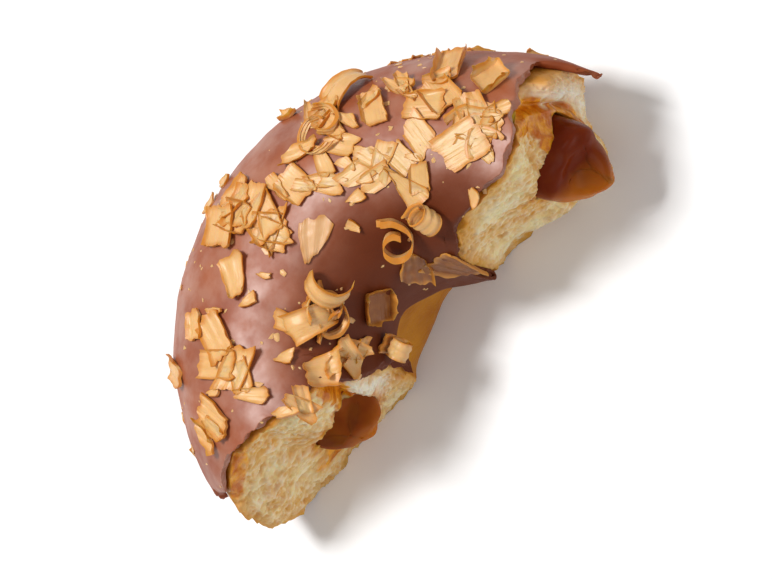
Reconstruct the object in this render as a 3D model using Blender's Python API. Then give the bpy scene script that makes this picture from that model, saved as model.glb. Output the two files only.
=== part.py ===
"""A bitten ring doughnut: the piece of a filled, iced ring that is left between two bites.

Three pieces nest in one another: the fried dough with a tunnel along it, the caramel filling that
runs through that tunnel and shows at both bites, and the chocolate icing that lies over the top
like a saddle.

Each piece is first made plain, as a sector of a true ring with flat ends, in millimetres about the
ring's axis: a bearing of 0 is the first bite and ARC is the second one. shape_ring() then gives it
the ring's oval plan and its two torn ends, and turns the sizes to metres.
"""

import math

import bmesh
import bpy
import numpy as np
from mathutils import Matrix, Vector, noise

# Driving sizes of the ring, in millimetres and degrees.
ARC = 135.0  # what is left of the full circle
OUTER_RADIUS = 43.0  # dough, mean
OUTER_OVAL = 2.3  # how far the outline is drawn out
OUTER_OVAL_BEARING = 103.0
HOLE_RADIUS = 13.2  # dough, mean, where the icing ends
HOLE_OVAL = 1.9
HOLE_OVAL_BEARING = 115.0
HOLE_SPREAD = 2.9  # how much further the dough spreads into the hole near the base
HOLE_SPREAD_BEARING = 92.0
HOLE_SPREAD_HALF_ARC = 42.0
WAIST_HEIGHT = 14.0  # where the ring is widest
DOUGH_TOP = 30.5
TOP_SWELL = 0.5  # how much the top rises and falls along the piece
TOP_SWELL_TURNS = (5.0, 1.0)  # radians of that wave along the piece, and where it starts
TOP_SWELL_HEIGHTS = (4.0, 20.0)  # it sets in over these, so that the underside stays flat
BASE_SWELL = 14.9  # a little more than the waist's height, so that the underside is flat
TOP_ROUNDNESS = 2.25  # 2 is an ellipse, more is squarer
BASE_ROUNDNESS = 2.9
HOLE_ROUNDNESS = 5.0  # the wall of the hole goes almost straight down

# How far each bite's face stands out past its plane, at a few places across the ring, which are
# -1 in the hole and 1 outside. The first bite leans out down to the filling's lower lip and is
# tucked in again at the base. The second one is scooped out towards the hole and notched over the
# filling.
FIRST_BITE_TOP = ((-0.95, -4.5), (-0.15, 3.5), (0.2, 3.5), (0.85, 0.1))
FIRST_BITE_LIP = ((-1.0, -5.0), (0.15, 8.8), (0.85, 2.6))
FIRST_BITE_BASE = ((-1.0, -6.5), (0.05, 4.0), (0.65, -0.5))
FIRST_LIP_HEIGHT = 8.0
SECOND_BITE_TOP = ((-0.85, -3.0), (-0.62, -4.6), (-0.34, -1.6), (0.05, -2.0), (0.42, -0.9), (1.05, 2.4))
SECOND_BITE_LIP = ((-1.0, -4.6), (-0.6, -3.2), (0.0, -1.2), (1.0, 5.8))
SECOND_BITE_BASE = ((-0.7, -3.0), (-0.2, -1.5), (0.35, 1.6), (0.95, 4.2))
SECOND_LIP_HEIGHT = 11.0
TEAR_TOP_HEIGHT = 27.0
END_REACH = 26.0  # degrees over which a torn end shifts its stations
DOUGH_RAGGEDNESS = 1.1
ICING_RAGGEDNESS = 1.3
FILLING_RAGGEDNESS = 0.3
TEARS_ACROSS = 3.2  # noise cells from the middle of the ring to its side
TEAR_HEIGHT = 4.5  # height of one cell
FINE_TEARS = 2.3  # how much finer the second octave is; it is half as deep
SECOND_BITE_SEED = 7.0  # added to a piece's seed at its second bite

GAP = 0.3  # between neighbouring pieces
ICING_THICKNESS = 1.2
ICING_OUTER_EDGE = 12.5  # height of the icing's lower edge outside
ICING_EDGE_WAVES = ((1.1, 9.0, 0.0), (0.8, 4.1, 2.0))  # that edge's (height, degrees a radian, start)
ICING_EDGE_RISE = 4.0  # how far it climbs towards the second bite
ICING_EDGE_RISE_ARC = (25.0, 4.0)  # degrees before the bite where that starts and ends
# The icing's lower edge in the hole, as (bearing, height), and the wave on it as (height, degrees a radian).
ICING_HOLE_EDGE = ((0.0, 4.5), (40.0, 5.5), (64.0, 11.5), (84.0, 14.0), (106.0, 14.0), (129.0, 8.5))
ICING_HOLE_WAVE = (0.5, 6.0)
ICING_SLIVER = 6.0  # how far a splinter of icing stands past the first bite outside
ICING_SLIVER_HALF_HEIGHT = 9.0
ICING_LOSS = 3.0  # how much of it has come off at the second bite outside

# The filling's cross-section at each bite: place across the ring, height, half width, half height.
FILLING_AT_FIRST = (0.12, 14.0, 6.0, 6.6)
FILLING_AT_SECOND = (-0.26, 9.8, 6.1, 5.2)
FILLING_BULGES = (3.0, 2.0)
FILLING_LUMPS = 0.14
FILLING_TWIST = 20.0  # degrees along the ring for each radian that the lumps turn

# Stations along the ring and points round each section.
STATIONS = 36
FILLING_STATIONS = 14
SECTION_POINTS = 36
SECTION_SAMPLES = 40  # for each of them, to measure lengths along the section
ICING_POINTS = 22
FILLING_POINTS = 18
CAP_RINGS = 4
MID_BEARING = ARC / 2

PLAIN_MID = (OUTER_RADIUS + HOLE_RADIUS) / 2
PLAIN_HALF = (OUTER_RADIUS - HOLE_RADIUS) / 2
MM = 0.001


def smooth(low, high, value):
    """0 below low, 1 above high and an S-curve between them."""
    share = min(1.0, max(0.0, (value - low) / (high - low)))
    return share * share * (3 - 2 * share)


def bump(middle, half_width, value):
    """1 at middle, falling to 0 at half_width to either side."""
    return 1 - smooth(0.0, half_width, abs(value - middle))


def blend(first, second, share):
    return first + (second - first) * share


def profile(points, place):
    """The value at a place, on S-curves that join points of (place, value)."""
    value = points[0][1]
    for (start, first), (end, second) in zip(points, points[1:]):
        if place > start:
            value = blend(first, second, smooth(start, end, place))
    return value


def first_tear(across, height):
    """How far the dough stands out past the first bite's plane. across is -1 in the hole and 1 outside."""
    levels = (FIRST_BITE_BASE, FIRST_BITE_LIP, FIRST_BITE_TOP)
    base, lip, top = (profile(level, across) for level in levels)
    low = blend(base, lip, smooth(0.0, FIRST_LIP_HEIGHT, height))
    return blend(low, top, smooth(FIRST_LIP_HEIGHT, TEAR_TOP_HEIGHT, height))


def second_tear(across, height):
    """The same for the second bite."""
    levels = (SECOND_BITE_BASE, SECOND_BITE_LIP, SECOND_BITE_TOP)
    base, lip, top = (profile(level, across) for level in levels)
    low = blend(base, lip, smooth(0.0, SECOND_LIP_HEIGHT, height))
    return blend(low, top, smooth(SECOND_LIP_HEIGHT, TEAR_TOP_HEIGHT, height))


def icing_first_tear(across, height):
    """The icing breaks with the dough, but for a splinter outside that is left standing."""
    near_waist = bump(WAIST_HEIGHT, ICING_SLIVER_HALF_HEIGHT, height)
    return first_tear(across, height) + ICING_SLIVER * smooth(0.85, 1.05, across) * near_waist


def icing_second_tear(across, height):
    """At the second bite the icing has come off the outer corner, and bare dough shows there."""
    return second_tear(across, height) - ICING_LOSS * smooth(0.8, 1.0, across)


def ragged(across, height, seed, size):
    """Uneven tearing: two octaves of noise over the bitten face."""
    spot = Vector((across * TEARS_ACROSS, height / TEAR_HEIGHT, seed))
    return size * (noise.noise(spot) + 0.5 * noise.noise(spot * FINE_TEARS))


def ring_span(bearing, height):
    """Middle radius and half width of the dough, whose outline and hole are oval. It spreads below."""
    outer = OUTER_RADIUS + OUTER_OVAL * math.cos(math.radians(2 * (bearing - OUTER_OVAL_BEARING)))
    hole = HOLE_RADIUS + HOLE_OVAL * math.cos(math.radians(2 * (bearing - HOLE_OVAL_BEARING)))
    spread = HOLE_SPREAD * bump(HOLE_SPREAD_BEARING, HOLE_SPREAD_HALF_ARC, bearing)
    hole -= spread * (1 - smooth(2.0, WAIST_HEIGHT, height))
    return (outer + hole) / 2, (outer - hole) / 2


def ring_point(plain, tears, seed, raggedness):
    """Where a point of the plain ring sector lies on the real piece, in metres."""
    radius = math.hypot(plain.x, plain.y)
    bearing = math.degrees(math.atan2(plain.y, plain.x))
    across = (radius - PLAIN_MID) / PLAIN_HALF
    height = plain.z
    share = bearing / ARC
    near_first = 1 - smooth(0.0, END_REACH, bearing)
    near_second = 1 - smooth(0.0, END_REACH, ARC - bearing)
    stand_out = near_first * (tears[0](across, height) + ragged(across, height, seed, raggedness))
    other_seed = seed + SECOND_BITE_SEED
    stand_out -= near_second * (tears[1](across, height) + ragged(across, height, other_seed, raggedness))
    middle, half = ring_span(bearing, height)
    bearing -= math.degrees(stand_out / (middle + across * half))
    middle, half = ring_span(bearing, height)
    turns, start = TOP_SWELL_TURNS
    swell = TOP_SWELL * math.sin(turns * share + start) * smooth(*TOP_SWELL_HEIGHTS, height)
    turned = Matrix.Rotation(math.radians(bearing), 3, "Z")
    return turned @ Vector((middle + across * half, 0.0, height + swell)) * MM


def shape_ring(bm, seed, raggedness, tears=(first_tear, second_tear)):
    for vert in bm.verts:
        vert.co = ring_point(vert.co, tears, seed, raggedness)


def rise_and_roundness(above_waist, outside):
    """Half height and roundness of one quarter of the ring's cross-section."""
    if above_waist:
        return DOUGH_TOP - WAIST_HEIGHT, TOP_ROUNDNESS
    return BASE_SWELL, BASE_ROUNDNESS if outside else HOLE_ROUNDNESS


def section_point(turn, offset=0.0):
    """A point of the ring's cross-section in the XZ plane, moved outwards by offset. turn runs from 0
    outside, over the top, to pi in the hole."""
    cosine, sine = math.cos(turn), math.sin(turn)
    rise, power = rise_and_roundness(sine > 0, cosine > 0)
    across = math.copysign(abs(cosine) ** (2 / power), cosine)
    up = math.copysign(abs(sine) ** (2 / power), sine)
    normal = Vector((cosine / PLAIN_HALF, 0.0, sine / rise)).normalized()
    spot = Vector((PLAIN_MID + PLAIN_HALF * across, 0.0, WAIST_HEIGHT + rise * up)) + normal * offset
    spot.z = max(0.0, spot.z)
    return spot


def filling_point(turn, bearing, spare):
    """A point of the filling's cross-section on the plain ring. spare widens it, for the tunnel round it."""
    share = smooth(0.0, ARC, bearing)
    across, height, half_width, half_height = (
        blend(first, second, share) for first, second in zip(FILLING_AT_FIRST, FILLING_AT_SECOND)
    )
    lump = 1 + FILLING_LUMPS * math.sin(3 * turn + bearing / FILLING_TWIST)
    radius = PLAIN_MID + across * PLAIN_HALF + (half_width * lump + spare) * math.cos(turn)
    flat = Vector((radius, 0.0, height + (half_height * lump + spare) * math.sin(turn)))
    return Matrix.Rotation(math.radians(bearing), 3, "Z") @ flat


def loop_of(bm, points, closed=True):
    """A chain of edges through points."""
    verts = [bm.verts.new(point) for point in points]
    pairs = list(zip(verts, verts[1:] + verts[:1])) if closed else list(zip(verts, verts[1:]))
    return [bm.edges.new(pair) for pair in pairs]


def bearing_of(edge):
    middle = (edge.verts[0].co + edge.verts[1].co) / 2
    return math.degrees(math.atan2(middle.y, middle.x))


def end_loops(bm):
    """The open edges of a tube, as two lists: those at the first bite and those at the second."""
    open_edges = [edge for edge in bm.edges if edge.is_boundary]
    at_first = [edge for edge in open_edges if bearing_of(edge) < MID_BEARING]
    return at_first, [edge for edge in open_edges if edge not in at_first]


def bridge_stations(bm, loops):
    for near, far in zip(loops, loops[1:]):
        bmesh.ops.bridge_loops(bm, edges=near + far)


def filling_tube(bm, points, spare):
    """The filling's skin from bite to bite: one loop for each station, bridged to the next."""
    loops = []
    for station in range(FILLING_STATIONS + 1):
        bearing = ARC * station / FILLING_STATIONS
        turns = [math.tau * index / points for index in range(points)]
        loops.append(loop_of(bm, [filling_point(turn, bearing, spare) for turn in turns]))
    bridge_stations(bm, loops)


def material(name, colour, roughness):
    """A plain surface: colour is linear RGB."""
    made = bpy.data.materials.new(name)
    made.use_nodes = True
    shader = made.node_tree.nodes["Principled BSDF"]
    shader.inputs["Base Color"].default_value = (*colour, 1.0)
    shader.inputs["Roughness"].default_value = roughness
    shader.inputs["Metallic"].default_value = 0.0
    return made


def object_from(bm, name, surface):
    bmesh.ops.recalc_face_normals(bm, faces=bm.faces)
    mesh = bpy.data.meshes.new(name)
    bm.to_mesh(mesh)
    bm.free()
    mesh.materials.append(surface)
    mesh.shade_smooth()
    made = bpy.data.objects.new(name, mesh)
    bpy.context.collection.objects.link(made)
    return made


def make_dough():
    """Fried yeast dough: a spun skin, a tunnel for the filling and, at each end, a torn face between."""
    bm = bmesh.new()
    turns = even_turns(0.0, math.tau, SECTION_POINTS + 1)[:-1]
    section = loop_of(bm, [section_point(turn) for turn in turns])
    bmesh.ops.spin(bm, geom=section, cent=(0, 0, 0), axis=(0, 0, 1), angle=math.radians(ARC), steps=STATIONS)
    filling_tube(bm, SECTION_POINTS, GAP)
    for skin_and_tunnel in end_loops(bm):
        known = set(bm.edges)
        bmesh.ops.bridge_loops(bm, edges=skin_and_tunnel)
        rungs = [edge for edge in bm.edges if edge not in known]
        bmesh.ops.subdivide_edges(bm, edges=rungs, cuts=CAP_RINGS, use_grid_fill=True)
    shape_ring(bm, seed=3.0, raggedness=DOUGH_RAGGEDNESS)
    return object_from(bm, "dough", material("fried dough", (0.72, 0.50, 0.22), 0.75))


def even_turns(start, end, count):
    """Turns from start to end that lie the same distance apart along the section."""
    turns = np.linspace(start, end, SECTION_SAMPLES * count)
    spots = np.array([section_point(turn) for turn in turns])
    lengths = np.linalg.norm(np.diff(spots, axis=0), axis=1)
    travelled = np.concatenate(([0.0], np.cumsum(lengths)))
    return np.interp(np.linspace(0.0, travelled[-1], count), travelled, turns)


def turn_at(height, outside):
    """The turn at which section_point() reaches a height."""
    above = height > WAIST_HEIGHT
    rise, power = rise_and_roundness(above, outside)
    turn = math.asin((abs(height - WAIST_HEIGHT) / rise) ** (power / 2)) * (1 if above else -1)
    return turn if outside else math.pi - turn


def icing_turns(bearing):
    """Where the icing starts and ends on the section: its lower edges rise and fall along the ring."""
    outer = ICING_OUTER_EDGE
    outer += sum(size * math.sin(bearing / degrees + start) for size, degrees, start in ICING_EDGE_WAVES)
    rise_from, rise_to = ICING_EDGE_RISE_ARC
    outer += ICING_EDGE_RISE * smooth(ARC - rise_from, ARC - rise_to, bearing)
    size, degrees = ICING_HOLE_WAVE
    hole = profile(ICING_HOLE_EDGE, bearing) + size * math.sin(bearing / degrees)
    return turn_at(outer, outside=True), turn_at(hole, outside=False)


def make_icing():
    """Milk chocolate icing: a sheet over the top of the ring, given its thickness inwards."""
    bm = bmesh.new()
    chains = []
    for station in range(STATIONS + 1):
        bearing = ARC * station / STATIONS
        start, end = icing_turns(bearing)
        turned = Matrix.Rotation(math.radians(bearing), 3, "Z")
        turns = even_turns(start, end, ICING_POINTS)
        points = [turned @ section_point(turn, GAP + ICING_THICKNESS) for turn in turns]
        chains.append(loop_of(bm, points, closed=False))
    bridge_stations(bm, chains)
    bmesh.ops.recalc_face_normals(bm, faces=bm.faces)
    if max(bm.faces, key=lambda face: face.calc_center_median().z).normal.z < 0:
        bmesh.ops.reverse_faces(bm, faces=bm.faces)
    bmesh.ops.solidify(bm, geom=bm.faces, thickness=ICING_THICKNESS)
    shape_ring(bm, seed=11.0, raggedness=ICING_RAGGEDNESS, tears=(icing_first_tear, icing_second_tear))
    return object_from(bm, "chocolate_icing", material("milk chocolate icing", (0.19, 0.065, 0.035), 0.4))


def bulge_ends(bm):
    """Pushes the filling's two ends out, most at their middles."""
    ends = zip((0.0, ARC), (-1.0, 1.0), (FILLING_AT_FIRST, FILLING_AT_SECOND), FILLING_BULGES)
    for bearing, outwards, (across, height, half_width, half_height), size in ends:
        turned = Matrix.Rotation(math.radians(bearing), 3, "Z")
        for vert in bm.verts:
            flat = turned.transposed() @ vert.co
            if abs(flat.y) < GAP:
                sideways = (flat.x - PLAIN_MID - across * PLAIN_HALF) / half_width
                upwards = (flat.z - height) / half_height
                bulge = size * max(0.0, 1 - sideways**2 - upwards**2)
                vert.co += turned @ Vector((0.0, outwards * bulge, 0.0))


def make_filling():
    """Caramel: a soft rod from bite to bite that bulges out of the dough at each end."""
    bm = bmesh.new()
    filling_tube(bm, FILLING_POINTS, 0.0)
    for end in end_loops(bm):
        cap = bmesh.ops.contextual_create(bm, geom=end)["faces"]
        for _ in range(CAP_RINGS - 1):
            bmesh.ops.inset_region(bm, faces=cap, thickness=FILLING_AT_SECOND[2] / CAP_RINGS, depth=0.0)
        bmesh.ops.poke(bm, faces=cap)
    bulge_ends(bm)
    shape_ring(bm, seed=20.0, raggedness=FILLING_RAGGEDNESS)
    return object_from(bm, "caramel_filling", material("caramel", (0.34, 0.11, 0.02), 0.2))


def stand_on_base(pieces):
    """Hangs the pieces on the ring's axis, and moves that so that the origin is under the box's centre."""
    axis = bpy.data.objects.new("ring_axis", None)
    bpy.context.collection.objects.link(axis)
    axis.rotation_euler.z = math.radians(90.0 - MID_BEARING)
    for piece in pieces:
        piece.parent = axis
    bpy.context.view_layer.update()
    corners = [piece.matrix_world @ vert.co for piece in pieces for vert in piece.data.vertices]
    for side in range(2):
        values = [corner[side] for corner in corners]
        axis.location[side] = -(min(values) + max(values)) / 2


def main():
    for old in list(bpy.data.objects):
        bpy.data.objects.remove(old)
    stand_on_base([make_dough(), make_icing(), make_filling()])


main()
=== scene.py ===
"""The looks of a bitten ring doughnut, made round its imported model.

Sizes are in millimetres and turned to metres as a mesh is placed. Places on the ring are given as
a bearing about its axis, in degrees from the first bite to the second, and a turn about the middle
of the ring's cross-section, in degrees from outside, over the top, to the hole.
"""

import math
import random

import bmesh
import bpy
import numpy as np
from mathutils import Matrix, Vector, noise
from mathutils.bvhtree import BVHTree
from mathutils.geometry import intersect_point_line
from mathutils.kdtree import KDTree


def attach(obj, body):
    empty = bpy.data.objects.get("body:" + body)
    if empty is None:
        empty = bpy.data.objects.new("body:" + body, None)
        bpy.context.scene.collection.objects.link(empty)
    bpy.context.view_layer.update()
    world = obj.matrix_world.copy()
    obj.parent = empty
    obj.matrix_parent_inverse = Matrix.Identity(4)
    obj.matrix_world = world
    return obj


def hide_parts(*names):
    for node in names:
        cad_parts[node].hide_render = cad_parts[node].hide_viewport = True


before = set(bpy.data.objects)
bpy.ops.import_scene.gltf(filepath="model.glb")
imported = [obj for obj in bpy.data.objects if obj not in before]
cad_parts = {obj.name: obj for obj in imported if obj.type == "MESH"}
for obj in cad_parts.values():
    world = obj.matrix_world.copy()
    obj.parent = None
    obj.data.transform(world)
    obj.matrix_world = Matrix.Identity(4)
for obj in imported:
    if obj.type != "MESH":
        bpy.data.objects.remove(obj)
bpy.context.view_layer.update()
MM = 0.001

# ---------------------------------------------------------------------------------------------
# The set: a matt white table under large diffused lamps, seen from above with a long lens that
# is turned on its side, so that the ring's top faces left.

RING_AXIS = Vector((0.165, -22.87, 0.0)) * MM
AIM_HEIGHT = 16.0
AIM_SIDEWAYS, AIM_UPWARDS = -13.2, 7.4
VIEW_BEARING, VIEW_ELEVATION, VIEW_ROLL = -67.5, 67.0, 75.0
VIEW_DISTANCE = 925.0
VIEW_WIDTH = 111.0
SENSOR = 36.0


def hex_colour(code):
    """An sRGB hex value as linear RGBA."""
    parts = [int(code[start:start + 2], 16) / 255 for start in (0, 2, 4)]
    linear = [part / 12.92 if part <= 0.04045 else ((part + 0.055) / 1.055) ** 2.4 for part in parts]
    return linear + [1.0]


def add(tree, kind, settings=None, inputs=None):
    """Adds a node with its settings. An input that is given a socket is linked to it."""
    node = tree.nodes.new("ShaderNode" + kind)
    for name, value in (settings or {}).items():
        setattr(node, name, value)
    for name, value in (inputs or {}).items():
        if isinstance(value, bpy.types.NodeSocket):
            tree.links.new(value, node.inputs[name])
        else:
            node.inputs[name].default_value = value
    return node.outputs


def new_tree(block):
    """An empty node tree on a material or world."""
    block.use_nodes = True
    block.node_tree.nodes.clear()
    return block.node_tree


def direction(bearing, elevation):
    """A unit vector that points that way from the object."""
    side, up = math.radians(bearing), math.radians(elevation)
    return Vector((math.cos(up) * math.cos(side), math.cos(up) * math.sin(side), math.sin(up)))


def link(thing):
    """Puts an object in the scene."""
    bpy.context.scene.collection.objects.link(thing)
    return thing


to_camera = direction(VIEW_BEARING, VIEW_ELEVATION)
roll = Matrix.Rotation(math.radians(-VIEW_ROLL), 3, "Z")
turned = (-to_camera).to_track_quat("-Z", "Y").to_matrix() @ roll
aim = RING_AXIS + Vector((0, 0, AIM_HEIGHT)) * MM + turned @ Vector((AIM_SIDEWAYS, AIM_UPWARDS, 0.0)) * MM
lens = bpy.data.cameras.new("camera")
lens.sensor_width = SENSOR
lens.lens = SENSOR * VIEW_DISTANCE / VIEW_WIDTH
lens.clip_end = 10.0
camera = link(bpy.data.objects.new("camera", lens))
camera.matrix_world = Matrix.Translation(aim + to_camera * VIEW_DISTANCE * MM) @ turned.to_4x4()
bpy.context.scene.camera = camera
bpy.context.scene.view_settings.view_transform = "Standard"

# Two lamps: a soft box almost overhead, and a weaker, wider one low on the bitten side, which opens
# the torn faces. Each has its bearing, elevation, distance, width and watts.
LAMPS = (
    ("key_softbox", 108.0, 69.0, 700.0, 160.0, 4.1),
    ("fill_softbox", -70.0, 28.0, 800.0, 400.0, 1.25),
)
for name, bearing, elevation, distance, size, watts in LAMPS:
    lamp = bpy.data.lights.new(name, "AREA")
    lamp.size = size * MM
    lamp.energy = watts
    placed = link(bpy.data.objects.new(name, lamp))
    towards = direction(bearing, elevation)
    facing = towards.to_track_quat("Z", "Y").to_matrix().to_4x4()
    placed.matrix_world = Matrix.Translation(towards * distance * MM) @ facing



def seen_directly(tree):
    """1 for a ray that shows this to the eye, straight, in a reflection or through glass, and else 0."""
    ray = add(tree, "LightPath")
    straight = {0: ray["Is Camera Ray"], 1: ray["Is Transmission Ray"]}
    seen = add(tree, "Math", {"operation": "MAXIMUM"}, straight)[0]
    return add(tree, "Math", {"operation": "MAXIMUM"}, {0: seen, 1: ray["Is Glossy Ray"]})[0]


WORLD_LEVEL = 0.33  # the light that the white studio throws on the food
world = bpy.data.worlds.new("white studio")
bpy.context.scene.world = world
tree = new_tree(world)
seen = seen_directly(tree)
level = add(tree, "MapRange", {}, {"Value": seen, "To Min": WORLD_LEVEL, "To Max": 1.0})["Result"]
shine = add(tree, "Background", {}, {"Color": (1, 1, 1, 1), "Strength": level})[0]
add(tree, "OutputWorld", {}, {"Surface": shine})

FLOOR_SIZE = 6.0  # metres
bm = bmesh.new()
bmesh.ops.create_grid(bm, x_segments=1, y_segments=1, size=FLOOR_SIZE / 2)
floor_mesh = bpy.data.meshes.new("floor")
bm.to_mesh(floor_mesh)
bm.free()
floor = link(bpy.data.objects.new("floor", floor_mesh))
# Matt laminate: plain white to the eye, and a little greyer where it throws light on the food.
table = bpy.data.materials.new("matt white laminate")
tree = new_tree(table)
white = add(tree, "MixRGB", {}, {
    "Fac": seen_directly(tree), "Color1": hex_colour("dcdcdc"), "Color2": hex_colour("ffffff"),
})[0]
matt = add(tree, "BsdfDiffuse", {}, {"Color": white})[0]
add(tree, "OutputMaterial", {}, {"Surface": matt})
floor_mesh.materials.append(table)

# ---------------------------------------------------------------------------------------------
# The dough: yeast dough fried golden, with a thin crust outside and soft, pale, open crumb where
# it was bitten through. The crumb tears into cells and strands, and caramel has soaked into it
# round the filling.

ARC = 135.0
FIRST_BITE = 22.5  # world bearing of the first bite about the ring's axis
CORE_RADIUS, CORE_HEIGHT = 28.1, 14.0  # the middle of the ring's cross-section
WELD = 1e-6  # metres
TORN_REACH = 25.0  # degrees from a bite within which a face can be torn
TORN_FACING = 0.55  # how squarely such a face looks along the ring
RIM_CREASE = 0.7
NIBBLED_RIM = 1.4  # how far from a torn face's rim the edge is ragged


def ring_place(spot):
    """Bearing, radius and height of a point, in degrees and millimetres about the ring's axis."""
    offset = (spot - RING_AXIS) / MM
    bearing = math.degrees(math.atan2(offset.y, offset.x)) - FIRST_BITE
    return (bearing + 90.0) % 360.0 - 90.0, math.hypot(offset.x, offset.y), offset.z


def outward_at(bearing):
    """The direction away from the ring's axis."""
    angle = math.radians(bearing + FIRST_BITE)
    return Vector((math.cos(angle), math.sin(angle), 0.0))


def along_at(bearing):
    """The direction along the ring, from the first bite to the second."""
    return outward_at(bearing + 90.0)


def ring_core(bearing):
    """The middle of the ring's cross-section at a bearing."""
    return Vector((0.0, 0.0, CORE_HEIGHT * MM)) + RING_AXIS + outward_at(bearing) * CORE_RADIUS * MM


def smooth(low, high, value):
    """0 below low, 1 above high and an S-curve between them."""
    share = min(1.0, max(0.0, (value - low) / (high - low)))
    return share * share * (3 - 2 * share)


def merged_copy(node):
    """A CAD node's surface as welded quads."""
    bm = bmesh.new()
    bm.from_mesh(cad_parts[node].data)
    bmesh.ops.remove_doubles(bm, verts=bm.verts, dist=WELD)
    for edge in bm.edges:
        edge.smooth = True
    wide = math.radians(60.0)
    bmesh.ops.join_triangles(bm, faces=bm.faces, angle_face_threshold=wide, angle_shape_threshold=wide)
    return bm


def subdivided(bm, levels):
    """The same surface after Catmull-Clark subdivision. Its layers come through."""
    mesh = bpy.data.meshes.new("subdivided")
    bm.to_mesh(mesh)
    bm.free()
    holder = link(bpy.data.objects.new("subdivided", mesh))
    modifier = holder.modifiers.new("subdivision", "SUBSURF")
    modifier.levels = modifier.render_levels = levels
    bpy.context.view_layer.update()
    finished = bmesh.new()
    finished.from_object(holder, bpy.context.evaluated_depsgraph_get())
    bpy.data.objects.remove(holder)
    bpy.data.meshes.remove(mesh)
    return finished


def nearness(bm, sources):
    """For each vertex, the distance in millimetres to the nearest of the source vertices."""
    tree = KDTree(len(sources))
    for index, vert in enumerate(sources):
        tree.insert(vert.co, index)
    tree.balance()
    return [tree.find(vert.co)[2] / MM for vert in bm.verts]


def made_object(bm, name, surfaces, sharp_degrees=None):
    """A smooth-shaded object from a bmesh."""
    mesh = bpy.data.meshes.new(name)
    bm.to_mesh(mesh)
    bm.free()
    mesh.shade_smooth()
    if sharp_degrees:
        mesh.set_sharp_from_angle(angle=math.radians(sharp_degrees))
    for surface in surfaces:
        mesh.materials.append(surface)
    return link(bpy.data.objects.new(name, mesh))


CRUST, TORN, TUNNEL = 0, 1, 2
bm = merged_copy("dough")
part = bm.faces.layers.int.new("part")
for face in bm.faces:
    middle = face.calc_center_median()
    bearing = ring_place(middle)[0]
    near_bite = bearing < TORN_REACH or bearing > ARC - TORN_REACH
    if near_bite and abs(face.normal.dot(along_at(bearing))) > TORN_FACING:
        face[part] = TORN
    elif face.normal.dot(middle - ring_core(bearing)) < 0:
        face[part] = TUNNEL
crease = bm.edges.layers.float.new("crease_edge")
for edge in bm.edges:
    parts = {face[part] for face in edge.link_faces}
    if len(parts) > 1:
        edge[crease] = RIM_CREASE
bm = subdivided(bm, 2)
part = bm.faces.layers.int["part"]
torn_edges = [edge for edge in bm.edges if all(face[part] == TORN for face in edge.link_faces)]
bmesh.ops.subdivide_edges(bm, edges=torn_edges, cuts=2, use_grid_fill=True)
bm.normal_update()

bm.verts.index_update()
rim_verts = [vert for vert in bm.verts if any(face[part] == CRUST for face in vert.link_faces)]
torn_verts = [vert for vert in bm.verts if any(face[part] == TORN for face in vert.link_faces)]
lip_verts = [vert for vert in torn_verts if any(face[part] == TUNNEL for face in vert.link_faces)]
from_rim = nearness(bm, rim_verts)
from_lip = nearness(bm, lip_verts)
from_torn = nearness(bm, torn_verts)
lips = [[], []]
for vert in lip_verts:
    bearing, radius, height = ring_place(vert.co)
    lips[bearing > ARC / 2].append((bearing, radius, height))

# Sculpted strokes on each torn face: a groove or a ridge along points of (radius, height), with its
# half width and how far it stands out.
STROKES = (
    (
        (((31.8, 31.0), (33.8, 26.0), (35.2, 21.0), (36.2, 15.0)), 1.0, -1.6),
        (((38.0, 23.5), (38.4, 19.5)), 4.8, 3.6),
        (((31.0, 4.5), (20.0, 5.0)), 5.0, 1.4),
        (((29.0, 6.0), (22.0, 8.5), (17.0, 9.0)), 1.3, -1.1),
        (((27.0, 27.0), (23.0, 21.0), (19.0, 14.0)), 2.6, 0.6),
    ),
    (
        (((20.8, 27.0), (21.2, 21.0), (22.4, 15.0)), 1.1, -1.6),
        (((18.6, 22.0), (19.2, 13.0), (20.5, 9.0)), 2.2, 1.3),
        (((31.0, 27.0), (33.0, 16.0), (31.0, 5.0)), 1.6, -0.5),
        (((37.0, 24.0), (38.0, 10.0)), 3.0, 0.5),
    ),
)
# Crumb painted palest as painted light, along points of (radius, height), with its half width.
PAINTED_LIGHT = (
    (((38.5, 27.0), (38.5, 10.0)), 5.5),
    (((18.0, 22.0), (19.0, 10.0)), 3.5),
)
# Where caramel has soaked in or smeared, along points of (radius, height), with its half width.
STAINS = (
    ((((32.0, 30.0), (33.0, 25.0), (33.2, 19.0), (33.6, 13.0)), 3.7), (((30.6, 22.0), (29.0, 16.0)), 1.6)),
    (
        (((20.8, 28.0), (21.2, 20.0), (23.0, 12.0)), 2.4),
        (((25.0, 5.0), (31.0, 6.0)), 3.4),
        (((36.0, 28.0), (40.5, 24.0)), 2.6),
    ),
)


def stroke(spot, points, half_width):
    """1 on a line through points, falling to 0 at half_width from it."""
    nearest = half_width
    for start, end in zip(points, points[1:]):
        share = intersect_point_line(spot, Vector(start), Vector(end))[1]
        foot = Vector(start).lerp(Vector(end), min(1.0, max(0.0, share)))
        nearest = min(nearest, (spot - foot).length)
    return 1 - smooth(0.0, half_width, nearest)


def ridges(spot, size):
    """1 along thin ridges and down to -1 between them."""
    return 1 - 4 * abs(noise.noise(spot / size))


def bubbles(spot, size):
    """How deep a point is in a round cell of the crumb, with cells of many widths."""
    distances, points = noise.voronoi(spot / size)
    reach = 0.34 + 0.24 * noise.cell(points[0] * 7.3)
    share = 1 - (distances[0] / reach) ** 2
    return math.sqrt(share) if share > 0 else 0.0


noise.seed_set(1)  # or else noise_vector takes its seed from the clock, and each run differs


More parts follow.
